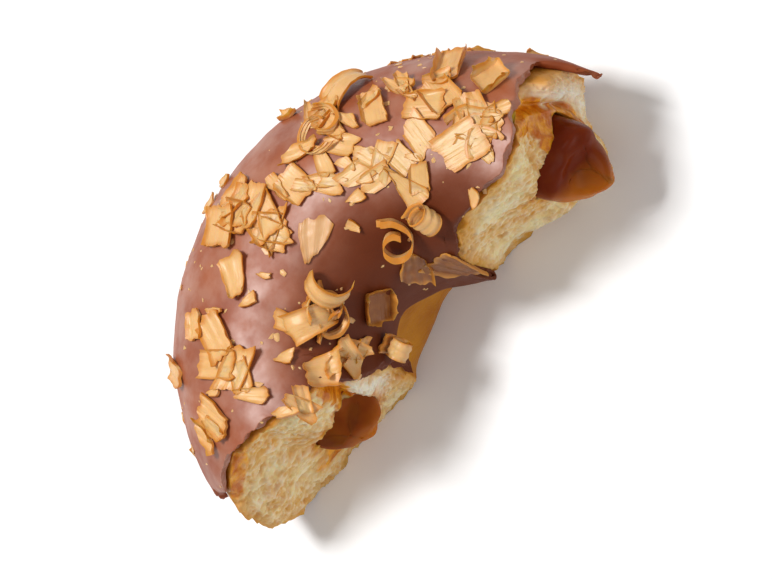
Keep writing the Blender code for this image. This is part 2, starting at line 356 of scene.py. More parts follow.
def crumb_relief(spot):
    """The torn crumb at a point in millimetres: how far it stands out, how deep in a cell it is, which the
    colour paints as shade, and how much of it is fluff, which the colour paints as highlight."""
    warped = spot + noise.noise_vector(spot / 2.2) * 0.7
    tears = 0.8 * noise.noise(spot / 6.0) + 0.12 * ridges(spot, 3.4)
    cells = 0.45 * bubbles(warped, 2.4) + 0.28 * bubbles(warped + Vector((9.0, 0.0, 0.0)), 1.15)
    cells += 0.17 * bubbles(warped + Vector((0.0, 9.0, 0.0)), 0.65)
    fluff_and_highlight = 0.08 * ridges(warped, 1.1) + 0.12 * ridges(spot, 0.5) + 0.14 * noise.noise(spot / 0.3)
    fluff_and_highlight += 0.16 * noise.noise(spot / 0.8)
    return tears - cells + fluff_and_highlight, min(1.0, cells), fluff_and_highlight


MARKS = "torn", "pore_shade", "fluff_and_highlight", "from_crust", "from_caramel", "stain"  # read by the dough's material
layers = {name: bm.verts.layers.float.new(name) for name in MARKS}
moves = []
for index, vert in enumerate(bm.verts):
    parts = [face[part] for face in vert.link_faces]
    torn = sum(kind == TORN for kind in parts) / len(parts)
    spot = vert.co / MM
    vert[layers["torn"]] = torn
    vert[layers["from_crust"]] = from_rim[index]
    vert[layers["from_caramel"]] = from_lip[index]
    bearing, radius, height = ring_place(vert.co)
    bite = int(bearing > ARC / 2)
    outward = outward_at(bearing)
    squashed = spot - outward * spot.dot(outward) * 0.18
    relief, hole, fluff_and_highlight = crumb_relief(squashed)
    away_from_ring = along_at(0.0 if bite == 0 else ARC) * (-1 if bite == 0 else 1)
    nibbles = 0.8 * noise.noise(spot / 1.6) + 0.5 * noise.noise(spot / 0.6)
    if torn == 0:
        wrinkle = 0.10 * noise.noise(spot / 3.5) + 0.05 * noise.noise(spot / 1.1)
        ragged = away_from_ring * nibbles * (1 - smooth(0.0, NIBBLED_RIM, from_torn[index]))
        moves.append((vert, (vert.normal * wrinkle + ragged) * MM))
        continue
    settle = 0.45 + 0.55 * smooth(0.0, 1.2, from_rim[index])
    place = Vector((radius, height))
    sculpted = sum(depth * stroke(place, points, wide) for points, wide, depth in STROKES[bite])
    frayed = place + Vector((noise.noise(spot / 1.4), noise.noise(spot / 1.2 + outward))) * 1.1
    stain = smooth(0.1, 0.42, max(stroke(frayed, points, wide) for points, wide in STAINS[bite]))
    vert[layers["stain"]] = stain
    vert[layers["pore_shade"]] = hole
    # Painted highlight: the crumb is painted paler on its raised fluff and on the listed lumps.
    vert[layers["fluff_and_highlight"]] = 0.5 + fluff_and_highlight + 0.6 * stroke(place, *PAINTED_LIGHT[bite])
    settled = relief * settle * (1 - 0.75 * stain)
    sculpted += nibbles * (1 - smooth(0.0, NIBBLED_RIM, from_rim[index]))
    closing = Vector((0.0, 0.0, 0.0))  # at the second bite the crumb has sunk in over the filling
    if bite == 1:
        closing = outward * -2.4 * smooth(24.0, 29.0, radius)
        closing += Vector((0.0, 0.0, -2.6)) * smooth(14.0, 18.0, height) * (1 - smooth(21.5, 26.0, radius))
        closing *= 1 - smooth(0.0, 4.5, from_lip[index])
    moves.append((vert, (vert.normal * settled + away_from_ring * sculpted + closing) * MM))
for vert, move in moves:
    vert.co += move
    vert.co.z = max(0.0, vert.co.z)

# Fried yeast dough: a satin golden crust, and a matt crumb that light enters a little way. The crumb is
# painted palest on its fluff and on one lump at each bite as painted highlight, deeper gold in its cells
# as painted shade, deeper gold beside the crust, and wet amber where caramel soaked in. A noise scale
# counts repeats in a metre, so these are blotches 6 mm wide, mottle of 2.4 mm and pores of 0.6 mm, the
# finest that shows.
fried_dough = bpy.data.materials.new("fried yeast dough")
tree = new_tree(fried_dough)
place = add(tree, "TexCoord")["Object"]
torn, pore_shade, fluff_and_highlight, off_crust, off_caramel, stain = (
    add(tree, "Attribute", {"attribute_name": name})["Fac"] for name in layers
)
mottle = add(tree, "TexNoise", {}, {"Vector": place, "Scale": 420.0, "Detail": 5.0})["Fac"]
broad = add(tree, "TexNoise", {}, {"Vector": place, "Scale": 170.0, "Detail": 4.0})["Fac"]
fine = add(tree, "TexNoise", {}, {"Vector": place, "Scale": 1600.0, "Detail": 3.0})["Fac"]
share = add(tree, "MapRange", {}, {"Value": broad, "From Min": 0.35, "From Max": 0.65})["Result"]
crust = add(tree, "MixRGB", {}, {
    "Fac": share, "Color1": hex_colour("a9620a"), "Color2": hex_colour("c48018"),
})[0]
share = add(tree, "MapRange", {}, {"Value": broad, "From Min": 0.38, "From Max": 0.64})["Result"]
crumb = add(tree, "MixRGB", {}, {
    "Fac": share, "Color1": hex_colour("fbe4ae"), "Color2": hex_colour("e4aa56"),
})[0]
# Painted highlight: paler on raised fluff and on the lumps painted as lit.
share = add(tree, "MapRange", {}, {"Value": fluff_and_highlight, "From Min": 0.45, "From Max": 0.95})["Result"]
crumb = add(tree, "MixRGB", {}, {"Fac": share, "Color1": crumb, "Color2": hex_colour("fdf1da")})[0]
# A random golden mottle, and painted shade: deeper gold in the crumb's cells.
share = add(tree, "MapRange", {}, {
    "Value": mottle, "From Min": 0.52, "From Max": 0.7, "To Min": 0.0, "To Max": 0.55,
})["Result"]
share = add(tree, "Math", {"operation": "MULTIPLY_ADD", "use_clamp": True}, {0: pore_shade, 1: 0.6, 2: share})[0]
crumb = add(tree, "MixRGB", {}, {"Fac": share, "Color1": crumb, "Color2": hex_colour("d0953f")})[0]
share = add(tree, "MapRange", {}, {
    "Value": off_crust, "From Min": 0.1, "From Max": 2.8, "To Min": 0.85, "To Max": 0.0,
})["Result"]
crumb = add(tree, "MixRGB", {}, {"Fac": share, "Color1": crumb, "Color2": hex_colour("d9983c")})[0]
wander = add(tree, "Math", {"operation": "MULTIPLY_ADD"}, {0: mottle, 1: 5.0, 2: -2.5})[0]
soak = add(tree, "Math", {"operation": "ADD"}, {0: off_caramel, 1: wander})[0]
soak = add(tree, "MapRange", {}, {
    "Value": soak, "From Min": 0.2, "From Max": 1.8, "To Min": 0.75, "To Max": 0.0,
})["Result"]
soak = add(tree, "Math", {"operation": "MAXIMUM"}, {0: soak, 1: stain})[0]
share = add(tree, "MapRange", {}, {"Value": mottle, "From Min": 0.4, "From Max": 0.62})["Result"]
amber = add(tree, "MixRGB", {}, {
    "Fac": share, "Color1": hex_colour("c66a08"), "Color2": hex_colour("f4a828"),
})[0]
crumb = add(tree, "MixRGB", {}, {"Fac": soak, "Color1": crumb, "Color2": amber})[0]
colour = add(tree, "MixRGB", {}, {"Fac": torn, "Color1": crust, "Color2": crumb})[0]
rough = add(tree, "MapRange", {}, {"Value": torn, "To Min": 0.5, "To Max": 0.8})["Result"]
wet = add(tree, "MapRange", {}, {
    "Value": stain, "From Min": 0.3, "From Max": 0.9, "To Min": 0.0, "To Max": 0.62,
})["Result"]
rough = add(tree, "Math", {"operation": "SUBTRACT"}, {0: rough, 1: wet})[0]
raised = add(tree, "Bump", {}, {"Height": fine, "Strength": 0.8, "Distance": 0.0002})["Normal"]
body = add(tree, "BsdfPrincipled", {}, {
    "Base Color": colour, "Roughness": rough, "Normal": raised, "Subsurface Weight": 0.45,
    "Subsurface Radius": (1.0, 0.6, 0.25), "Subsurface Scale": 0.0015, "Specular IOR Level": 0.2,
})[0]
add(tree, "OutputMaterial", {}, {"Surface": body})
dough = made_object(bm, "fried_dough", [fried_dough])
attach(dough, "root")
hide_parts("dough")

# ---------------------------------------------------------------------------------------------
# The filling: soft caramel piped through the ring. It bulges at both bites, glassy, painted dark brown as
# shade on its upper side, and amber on its lower edge as painted light coming through it.



def softened(bm, verts, times):
    """Melts a surface smooth by moving its vertices towards their neighbours."""
    for _ in range(times):
        bmesh.ops.smooth_vert(bm, verts=verts, factor=0.5, use_axis_x=True, use_axis_y=True, use_axis_z=True)


bm = subdivided(merged_copy("caramel_filling"), 3)
painted_light_layer = bm.verts.layers.float.new("painted_light")
openings = []
for bite, rim in enumerate(lips):
    rows = np.array([(1.0, radius, height) for _, radius, height in rim])
    reach = np.array([math.radians(bearing - ARC * bite) * radius for bearing, radius, _ in rim])
    plane = np.linalg.lstsq(rows, reach, rcond=None)[0]
    lows, highs = rows.min(axis=0), rows.max(axis=0)
    openings.append((plane, (lows + highs) / 2, (highs - lows) / 2))
bm.normal_update()
for vert in bm.verts:
    bearing, radius, height = ring_place(vert.co)
    bite = int(bearing > ARC / 2)
    side = 1 if bite else -1
    plane, middle, half = openings[bite]
    across, up = (radius - middle[1]) / half[1], (height - middle[2]) / half[2]
    off_centre = math.hypot(across, up)
    spot = vert.co / MM
    sag = 0.6 * noise.noise(spot / 2.8) + 0.13 * noise.noise(spot / 1.1)
    reach = math.radians(bearing - ARC * bite) * radius
    inside = side * (plane @ np.array([1.0, radius, height]) - reach)
    # The caramel's colour mark: 0 where it is painted dark as shade, 1 where it is painted amber as light
    # coming through its lower edge.
    if bite == 0:
        hollow = math.hypot((across - 0.1) / 0.8, (up - 0.4) / 0.6)
        shift = 0.8 - 2.6 * (1 - smooth(0.2, 1.0, hollow)) - 1.3 * smooth(0.3, 0.95, -up)
        shift += 1.7 * smooth(0.1, 0.7, across) * smooth(-0.2, 0.5, up)
        painted_light = smooth(-0.5, 0.5, -up - 0.55 * across)
    else:
        shift = 1.2 * smooth(-0.1, 0.7, -up - across) - 1.6 * smooth(0.1, 0.8, across)
        shift -= 2.4 * smooth(0.0, 0.7, up)
        painted_light = 0.25 + 0.75 * smooth(-0.2, 0.9, -up - 0.3 * across)
    shift = (shift + sag) * (1 - smooth(0.0, 1.5, inside))
    spill = 0.35 + (0.5 + sag) * (1 - smooth(0.0, 2.5, abs(inside)))
    vert.co += vert.normal * spill * MM + along_at(bearing) * side * shift * MM
    vert[painted_light_layer] = painted_light
softened(bm, bm.verts, times=10)
# Soft caramel: smooth and shiny, painted dark brown as shade and amber as light coming through its lower
# edge, with slow swirls 4 mm wide.
caramel = bpy.data.materials.new("soft caramel")
tree = new_tree(caramel)
place = add(tree, "TexCoord")["Object"]
swirl = add(tree, "TexNoise", {}, {"Vector": place, "Scale": 260.0, "Detail": 2.0})["Fac"]
painted_light = add(tree, "Attribute", {"attribute_name": "painted_light"})["Fac"]
share = add(tree, "Math", {"operation": "MULTIPLY_ADD"}, {0: swirl, 1: 0.5, 2: -0.25})[0]
share = add(tree, "Math", {"operation": "ADD", "use_clamp": True}, {0: share, 1: painted_light})[0]
colour = add(tree, "MixRGB", {}, {
    "Fac": share, "Color1": hex_colour("70260a"), "Color2": hex_colour("c87018"),
})[0]
body = add(tree, "BsdfPrincipled", {}, {
    "Base Color": colour, "Roughness": 0.26, "Subsurface Weight": 0.3,
    "Subsurface Radius": (1.0, 0.3, 0.04), "Subsurface Scale": 0.002, "Specular IOR Level": 0.05,
})[0]
add(tree, "OutputMaterial", {}, {"Surface": body})
filling = made_object(bm, "caramel", [caramel])
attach(filling, "root")
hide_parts("caramel_filling")

# ---------------------------------------------------------------------------------------------
# The icing: milk chocolate that the ring was dipped in. It set with a soft satin gloss and shallow
# waves, and it broke with a thin, uneven edge at the bites.

ICING_SEAT = 0.45  # how far the icing's underside is let into the dough
BROKEN_REACH = 20.0  # degrees from a bite within which the icing can be broken
BROKEN_FACING = 0.75
FINE_RIM = 2.5  # how far from the break the mesh is finer
bm = merged_copy("chocolate_icing")
broken = bm.faces.layers.int.new("broken")
for face in bm.faces:
    bearing = ring_place(face.calc_center_median())[0]
    near_bite = bearing < BROKEN_REACH or bearing > ARC - BROKEN_REACH
    face[broken] = int(near_bite and abs(face.normal.dot(along_at(bearing))) > BROKEN_FACING)
crease = bm.edges.layers.float.new("crease_edge")
for edge in bm.edges:
    edge[crease] = float(len({face[broken] for face in edge.link_faces}) > 1)
bm = subdivided(bm, 2)
broken = bm.faces.layers.int["broken"]
broken_verts = [vert for vert in bm.verts if any(face[broken] for face in vert.link_faces)]
near_break = nearness(bm, broken_verts)
bm.verts.index_update()
fine_edges = [edge for edge in bm.edges if max(near_break[vert.index] for vert in edge.verts) < FINE_RIM]
bmesh.ops.subdivide_edges(bm, edges=fine_edges, cuts=2, use_grid_fill=True)
bm.verts.index_update()
bm.normal_update()
broken_verts = [vert for vert in bm.verts if any(face[broken] for face in vert.link_faces)]
near_break = nearness(bm, broken_verts)
skin = [vert for vert, distance in zip(bm.verts, near_break) if distance > 1.2]
softened(bm, skin, times=8)
bm.normal_update()
hole_shade = bm.verts.layers.float.new("hole_shade")
crest = bm.verts.layers.float.new("crest")
moves = []
for index, vert in enumerate(bm.verts):
    bearing, radius, height = ring_place(vert.co)
    spot = vert.co / MM
    outward = (vert.co - ring_core(bearing)).normalized()
    wander = 2.0 * noise.noise(spot / 6.0)
    towards_hole = CORE_RADIUS - radius + wander
    # Painted shade: how much darker the icing is painted towards the hole.
    vert[hole_shade] = smooth(-2.0, 11.0, towards_hole)
    # Where pale patches lie along the crest, partly a waxy bloom and partly a painted highlight.
    vert[crest] = smooth(20.0, 28.5, height + wander) * (1 - smooth(1.0, 11.0, towards_hole))
    if vert.normal.dot(outward) < -0.2:
        move = outward * (0.1 - (0.1 + ICING_SEAT) * smooth(0.3, 2.4, near_break[index]))
    else:
        waves = 0.24 * noise.noise(spot / 8.0) + 0.11 * noise.noise(spot / 3.2)
        waves += 0.03 * noise.noise(spot / 1.4)
        move = vert.normal * waves
    ray = (spot - RING_AXIS / MM).normalized() * 20
    chips = 1.2 * noise.noise(ray / 1.9) + 0.7 * noise.noise(ray / 0.8) + 0.2 * noise.noise(spot / 0.5)
    move += along_at(bearing) * chips * (1 - smooth(0.0, 3.0, near_break[index]))
    low_down = smooth(4.0, 12.0, radius - CORE_RADIUS) * (1 - smooth(CORE_HEIGHT, CORE_HEIGHT + 9.0, height))
    tip = low_down * (1 - smooth(0.0, 7.0, near_break[index]))
    if bearing < ARC / 2:
        move -= outward * 0.55 * tip * (vert.normal.dot(outward) > 0)
    else:
        move -= along_at(bearing) * 2.2 * tip + outward * 0.35 * tip
    moves.append(move)
for vert, move in zip(bm.verts, moves):
    vert.co += move * MM
# Milk chocolate icing, dipped and left to set: satin brown with clouds 9 mm wide, painted darker
# towards the hole as shade, and pale patches of 4 mm along the crest, partly a waxy bloom and partly a
# painted highlight, which also get a glossy coat. Its pits are 2 mm across.
milk_chocolate = bpy.data.materials.new("milk chocolate icing")
tree = new_tree(milk_chocolate)
place = add(tree, "TexCoord")["Object"]
hole_shade = add(tree, "Attribute", {"attribute_name": "hole_shade"})["Fac"]
cloud = add(tree, "TexNoise", {}, {"Vector": place, "Scale": 110.0, "Detail": 6.0})["Fac"]
share = add(tree, "MapRange", {}, {"Value": cloud, "From Min": 0.35, "From Max": 0.65})["Result"]
colour = add(tree, "MixRGB", {}, {
    "Fac": share, "Color1": hex_colour("853a1a"), "Color2": hex_colour("9b4d26"),
})[0]
# Painted shade: darker brown towards the hole.
colour = add(tree, "MixRGB", {}, {"Fac": hole_shade, "Color1": colour, "Color2": hex_colour("60280c")})[0]
patches = add(tree, "TexNoise", {}, {
    "Vector": place, "Scale": 240.0, "Detail": 4.0, "Roughness": 0.55,
})["Fac"]
patches = add(tree, "MapRange", {}, {"Value": patches, "From Min": 0.36, "From Max": 0.62})["Result"]
crest = add(tree, "Attribute", {"attribute_name": "crest"})["Fac"]
patches = add(tree, "MapRange", {}, {"Value": patches, "To Min": 0.35, "To Max": 1.0})["Result"]
# Pale crest patches: partly a waxy bloom, partly a painted highlight; the same patches carry a glossy coat.
bloom_and_highlight = add(tree, "Math", {"operation": "MULTIPLY"}, {0: patches, 1: crest})[0]
share = add(tree, "Math", {"operation": "MULTIPLY"}, {0: bloom_and_highlight, 1: 0.38})[0]
colour = add(tree, "MixRGB", {}, {"Fac": share, "Color1": colour, "Color2": hex_colour("ac775a")})[0]
coat = add(tree, "MapRange", {}, {"Value": bloom_and_highlight, "To Min": 0.0, "To Max": 0.85})["Result"]
rough = add(tree, "MapRange", {}, {"Value": bloom_and_highlight, "To Min": 0.56, "To Max": 0.4})["Result"]
pitted = add(tree, "TexNoise", {}, {"Vector": place, "Scale": 520.0, "Detail": 5.0})["Fac"]
raised = add(tree, "Bump", {}, {"Height": pitted, "Strength": 0.5, "Distance": 0.0002})["Normal"]
body = add(tree, "BsdfPrincipled", {}, {
    "Base Color": colour, "Roughness": rough, "Normal": raised, "Subsurface Weight": 0.1,
    "Subsurface Radius": (1.0, 0.4, 0.2), "Subsurface Scale": 0.001, "Specular IOR Level": 0.2,
    "Coat Weight": coat, "Coat Roughness": 0.46, "Coat IOR": 1.6,
})[0]
add(tree, "OutputMaterial", {}, {"Surface": body})
icing_surface = BVHTree.FromBMesh(bm)
icing = made_object(bm, "chocolate_glaze", [milk_chocolate], sharp_degrees=55)
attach(icing, "root")
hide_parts("chocolate_icing")

# ---------------------------------------------------------------------------------------------
# The shavings: caramel-flavoured chocolate scraped off a block, which leaves thin flakes with crisp
# raised sides, fine ridges, gutters and rolls. They were strewn on while the icing was wet, so most
# stick where they fell, and a few sank in.

STEP = 0.3  # between the rows of points on a shaving
SHEET_STEPS, SPARE_STEPS = 40, 8  # along a shaving's middle line, and past each of its ends
SPARE = SPARE_STEPS / SHEET_STEPS
PATH_STEPS = SHEET_STEPS + 2 * SPARE_STEPS
LENGTH_WITH_TEETH, WIDTH_WITH_RIMS = 1.16, 1.2  # so that it measures as asked once its edges are worn
PLAIN = {
    "bend": 16, "begins": 0.0, "tighten": 1.0, "lip": 8, "sides": 0.25, "ridges": 2, "taper": 0.08,
    "point": 0.0, "skew": 0.25, "twist": 9, "tip": 0, "sink": 0.1, "cuts": 0, "thick": 0.42,
}
# What sets each shape apart: its bend along the cut and where that begins and tightens, how far its
# ends and sides rise, its ridges, taper and point, how it lies, and how many corners broke off.
# Angles are in degrees and heights in millimetres.
SHAPES = {
    "flat": {"sides": 0.45, "cuts": 1},
    "ridged": {"bend": 24, "ridges": 3, "sides": 0.6},
    "tray": {"sides": 1.1, "ridges": 1, "lip": 24},
    "deep": {"sides": 1.5, "ridges": 0, "lip": 58, "skew": 0.1},
    "cupped": {"sides": 1.4, "ridges": 0, "lip": 58, "skew": 0.1},
    "leaf": {"bend": 34, "point": 0.4, "sides": 0.5, "twist": 18, "skew": 0.45, "cuts": 1},
    "arrow": {"taper": 0.92, "sides": 0.8, "lip": 16, "cuts": 0},
    "scoop": {"bend": 50, "lip": 45, "taper": 0.5, "sides": 0.7},
    "shell": {"bend": -75, "taper": 0.3, "sides": 0.3, "lip": -20, "sink": 0.5, "ridges": 1},
    "half": {"bend": 165, "taper": 0.3, "sides": 0.0, "sink": 0.3},
    "hoop": {"bend": -190, "sides": 0.0, "tip": 40, "sink": 0.5, "ridges": 1, "cuts": 0, "thick": 0.45},
    "hook": {
        "bend": 185, "tighten": 1.3, "sides": 0.0, "tip": 66, "sink": 0.3, "twist": 4, "cuts": 0,
        "thick": 0.5,
    },
    "strip": {"bend": 45, "sides": 0.0, "tip": 60, "twist": 30, "sink": 0.2, "thick": 0.5},
    "scroll": {
        "bend": 470, "begins": 0.08, "tighten": 1.25, "sides": 0.0, "tip": 30, "sink": 0.3, "cuts": 0,
    },
    "six": {
        "bend": 400, "tighten": 1.5, "sides": 0.0, "tip": 76, "sink": 0.4, "twist": 0, "skew": 0.0,
        "ridges": 0, "cuts": 0, "thick": 0.9,
    },
    "lily": {"bend": 50, "taper": -0.9, "sides": 0.9, "lip": 26, "sink": 0.1, "cuts": 0},
    "pressed": {"bend": 0, "sides": 0.1, "lip": 0, "point": 0.5, "twist": 0, "sink": 0.27, "cuts": 2},
    "filmed": {"bend": 12, "sides": 0.55, "point": 0.35, "ridges": 3, "sink": 0.2, "cuts": 2},
    "chip": {
        "bend": 30, "point": 0.5, "sides": 0.1, "ridges": 0, "tip": 12, "skew": 0.5, "sink": 0.05, "cuts": 2,
    },
}


def curled_path(shape, luck):
    """The curl's middle line for a sheet of unit length, as points and headings, with spare at each end."""
    points, headings = [Vector((0.0, 0.0))], []
    bend = shape["bend"] * (1 + 0.25 * luck)
    centred = 0.5 if abs(bend) < 260 and shape["begins"] == 0 else 0.0
    for step in range(PATH_STEPS):
        share = (step + 0.5) / SHEET_STEPS - SPARE
        grown = min(1.0, max(0.0, share - shape["begins"]) / (1 - shape["begins"]))
        angle = bend * (grown ** shape["tighten"] - centred)
        angle += shape["lip"] * (smooth(0.72, 1.0, share) - 1 + smooth(0.0, 0.28, share))
        headings.append(math.radians(angle))
        points.append(points[-1] + Vector((math.cos(headings[-1]), math.sin(headings[-1]))) / SHEET_STEPS)
    return points, headings


def shaving_mesh():
    """An empty bmesh with the layers that the shavings' material reads."""
    bm = bmesh.new()
    bm.verts.layers.float.new("rim")
    bm.verts.layers.float_vector.new("grain")
    return bm


def flake(name, length, width, seed):
    """A shaving on the origin: X along the cut, Z away from the icing, in millimetres."""
    shape = {**PLAIN, **SHAPES[name]}
    luck = [noise.noise(Vector((seed, 7.7 * count, 0.5))) * 2 for count in range(4)]
    points, headings = curled_path(shape, luck[0])
    inner = [point.x for point in points[SPARE_STEPS:SPARE_STEPS + SHEET_STEPS + 1]]
    width *= WIDTH_WITH_RIMS
    sheet = LENGTH_WITH_TEETH * length / max(0.2, max(inner) - min(inner))
    rows = max(3, min(48, round(sheet / STEP)))
    columns = max(3, min(20, round(width / STEP)))
    bm = shaving_mesh()
    bmesh.ops.create_grid(bm, x_segments=rows, y_segments=columns, size=0.5)
    rim_layer, grain_layer = bm.verts.layers.float["rim"], bm.verts.layers.float_vector["grain"]
    for count in range(shape["cuts"]):
        chance = noise.noise_vector(Vector((seed, 3.3 * count, 1.5))) * 2
        corner = Vector((math.copysign(0.5, chance.x), math.copysign(0.5, chance.y), 0.0))
        slant = Vector((corner.x / max(0.3, 1 + chance.z), corner.y, 0.0)).normalized()
        everything = [*bm.verts, *bm.edges, *bm.faces]
        bmesh.ops.bisect_plane(bm, geom=everything, plane_co=corner * 0.7, plane_no=slant, clear_outer=True)
    skew = shape["skew"] * luck[1] * 1.6
    twist = math.radians(shape["twist"]) * luck[2] * 1.5
    for vert in bm.verts:
        u, v = vert.co.x + 0.5, vert.co.y
        side = 1 if v > 0 else -1
        rim = smooth(0.34, 0.5, abs(v))
        end = smooth(0.34, 0.5, abs(u - 0.5))
        teeth = 0.75 * noise.noise(Vector((v * width * 0.8, 3.0 * (u > 0.5), seed)))
        teeth += 0.3 * noise.noise(Vector((v * width * 2.1, 3.0 * (u > 0.5), seed)))
        along = u + end * teeth / sheet + skew * v * width / sheet
        half = width * (1 - shape["taper"] * (u if shape["taper"] > 0 else u - 1))
        half *= 1 - shape["point"] * max(0.0, u - 0.35) / 0.65
        notch = 0.5 * max(0.0, noise.noise(Vector((u * sheet * 0.55, 9.0 * side, seed))) - 0.12)
        across = v * half - side * rim * (notch + 0.3 * shape["sides"])
        lift = shape["sides"] * rim * (1 + 0.8 * noise.noise(Vector((u * sheet * 0.5, side, seed))))
        lift += 0.1 * math.cos(v * math.tau * (shape["ridges"] + 0.5)) * (shape["ridges"] > 0)
        lift += 0.12 * noise.noise(Vector((u * sheet, v * width, seed)) / 1.3)
        at = min(PATH_STEPS - 1.0, max(0.0, (along + SPARE) * SHEET_STEPS))
        index = min(PATH_STEPS - 2, int(at))
        spot = points[index].lerp(points[index + 1], at - index) * sheet
        angle = headings[index] + (headings[index + 1] - headings[index]) * (at - index)
        turned = twist * (u - 0.5)
        cosine, sine = math.cos(turned), math.sin(turned)
        lift, across = lift * cosine + across * sine, across * cosine - lift * sine
        # The rim mark: where the sides and ends are painted a deeper colour, as shade at the edges and light
        # coming through them.
        vert[rim_layer] = max(rim, 0.8 * end)
        vert[grain_layer] = Vector((v * width, u * sheet, seed))
        vert.co = Vector((spot.x - math.sin(angle) * lift, across, spot.y + math.cos(angle) * lift))
    bmesh.ops.solidify(bm, geom=bm.faces, thickness=shape["thick"] * (1 + 0.25 * luck[3]))
    bmesh.ops.recalc_face_normals(bm, faces=bm.faces)
    tipped = Matrix.Rotation(math.radians(shape["tip"]), 3, "X")
    bmesh.ops.rotate(bm, cent=(0, 0, 0), matrix=tipped, verts=bm.verts)
    lows = [min(vert.co[axis] for vert in bm.verts) for axis in range(3)]
    highs = [max(vert.co[axis] for vert in bm.verts) for axis in range(3)]
    shift = Vector((-(lows[0] + highs[0]) / 2, -(lows[1] + highs[1]) / 2, -lows[2] - shape["sink"]))
    bmesh.ops.translate(bm, vec=shift, verts=bm.verts)
    return bm


def icing_seat(bearing, turn):
    """A frame on the icing with X along the ring and Z outwards."""
    out = outward_at(bearing)
    core = RING_AXIS + (out * CORE_RADIUS + Vector((0, 0, CORE_HEIGHT))) * MM
    inwards = 3 if turn < 90 else -3
    for step in range(12):
        angle = math.radians(turn + inwards * step)
        reach = out * math.cos(angle) + Vector((0, 0, math.sin(angle)))
        spot, normal, _, _ = icing_surface.ray_cast(core + reach * 30 * MM, -reach, 28 * MM)
        if spot is not None:
            break
    else:
        spot, normal, _, _ = icing_surface.find_nearest(core + reach * 18 * MM)
    normal = (normal + reach * 1.5).normalized()
    along = along_at(bearing)
    along = (along - normal * along.dot(normal)).normalized()
    seat = Matrix((along, normal.cross(along), normal)).transposed().to_4x4()
    seat.translation = spot
    return seat


DRAPE_RADIUS = 15.0  # the icing's own curve round the ring's cross-section
TALLEST = 32.8  # shavings on the crest lie flatter than this height


def lay(pile, piece, bearing, turn, spin, drape=0.0):
    """Puts a shaving on the icing and adds it to a pile."""
    spun = Matrix.Rotation(math.radians(spin), 3, "Z")
    bmesh.ops.rotate(piece, cent=(0, 0, 0), matrix=spun, verts=piece.verts)
    for vert in piece.verts:
        vert.co.z -= drape * vert.co.y ** 2 / (2 * DRAPE_RADIUS)
    seat = icing_seat(bearing, turn) @ Matrix.Scale(MM, 4)
    needed = max((seat @ vert.co).z for vert in piece.verts) - seat.translation.z
    room = (TALLEST * MM - seat.translation.z) / max(1e-6, needed)
    for vert in piece.verts:
        vert.co.z *= min(1.0, max(0.3, room)) if vert.co.z > 0 else 1.0
    bmesh.ops.transform(piece, matrix=seat, verts=piece.verts)
    mesh = bpy.data.meshes.new("laid")
    piece.to_mesh(mesh)
    piece.free()
    pile.from_mesh(mesh)
    bpy.data.meshes.remove(mesh)


# The showy curls, and the few shavings that sank in or were dipped over: shape, bearing, turn, spin,
# length and width.
CURLS = (
    ("six", 45, 130, 150, 4.0, 1.6), ("lily", 30, 110, 120, 6.5, 4.5), ("scroll", 25, 125, -150, 3.5, 3.0),
    ("hoop", 85, 120, 90, 5.5, 2.5), ("shell", 100, 115, 120, 6.0, 4.5), ("half", 120, 120, -90, 4.5, 4.5),
    ("deep", 5, 60, -120, 4.5, 4.5), ("shell", 40, 50, -150, 6.0, 5.0), ("arrow", 75, 85, 30, 6.0, 5.0),
    ("scoop", 90, 75, 30, 5.5, 4.5), ("scroll", 110, 165, 90, 3.0, 2.5), ("pressed", 70, 105, 30, 5.0, 4.5),
    ("filmed", 50, 150, -120, 5.5, 4.5), ("filmed", 25, 160, 120, 7.0, 5.0),
    ("cupped", 85, 150, -150, 4.5, 5.0),
)
# The plain shavings, with how long each is and how wide for its length.
FALLEN = {
    "leaf": (4.2, 0.6), "flat": (4.0, 0.75), "ridged": (4.9, 0.85), "tray": (4.6, 0.9), "strip": (4.0, 0.35),
    "hook": (4.2, 0.4), "chip": (2.1, 0.7),
}
# Handfuls as they fell: bearing, turn, the spread of each, how many, and the shapes among them.
HANDFULS = (
    (5, 90, 5, 10, 13, ("ridged", "leaf", "strip", "flat", "leaf")),
    (25, 70, 7, 10, 6, ("leaf", "chip", "tray")),
    (50, 70, 6, 9, 13, ("leaf", "leaf", "flat", "hook")),
    (40, 100, 7, 8, 11, ("flat", "leaf", "tray", "chip")),
    (70, 60, 10, 16, 7, ("tray", "ridged", "tray", "leaf")),
    (105, 55, 10, 15, 7, ("flat", "chip", "ridged")),
    (95, 120, 5, 8, 9, ("strip", "leaf", "flat", "hook")),
    (115, 140, 4, 6, 4, ("leaf", "flat")),
    (125, 70, 7, 20, 8, ("ridged", "leaf", "chip", "flat")),
    (65, 85, 40, 30, 16, ("chip", "leaf", "chip", "tray")),
)
LOWEST_TURN, HIGHEST_TURN = 32, 150  # a handful slides no further down the outside or into the hole
HANDFULS_SEED, SCATTER_SEED = 11, 5
STANDING = {"hoop", "hook", "strip", "scroll", "six", "chip"}  # too stiff or small to drape much
SUNK = {"pressed": "pressed", "filmed": "filmed", "cupped": "filmed"}
piles = {name: shaving_mesh() for name in ("shavings", "filmed", "pressed", "crumbs")}
strewn = list(CURLS)
toss = random.Random(HANDFULS_SEED)
for middle, turn, along_ring, round_ring, count, kinds in HANDFULS:
    for _ in range(count):
        shape = toss.choice(kinds)
        length = FALLEN[shape][0] * toss.uniform(0.8, 1.25)
        width = length * FALLEN[shape][1] * toss.uniform(0.8, 1.2)
        bearing = min(ARC - 2, max(0, toss.gauss(middle, along_ring)))
        lies = min(HIGHEST_TURN, max(LOWEST_TURN, toss.gauss(turn, round_ring)))
        strewn.append((shape, bearing, lies, toss.uniform(0, 360), length, width))
for seed, (shape, bearing, turn, spin, length, width) in enumerate(strewn):
    pile = piles[SUNK.get(shape, "shavings")]
    piece = flake(shape, length, width, seed * 3.7)
    lay(pile, piece, bearing, turn, spin, drape=0.3 if shape in STANDING else 1.0)

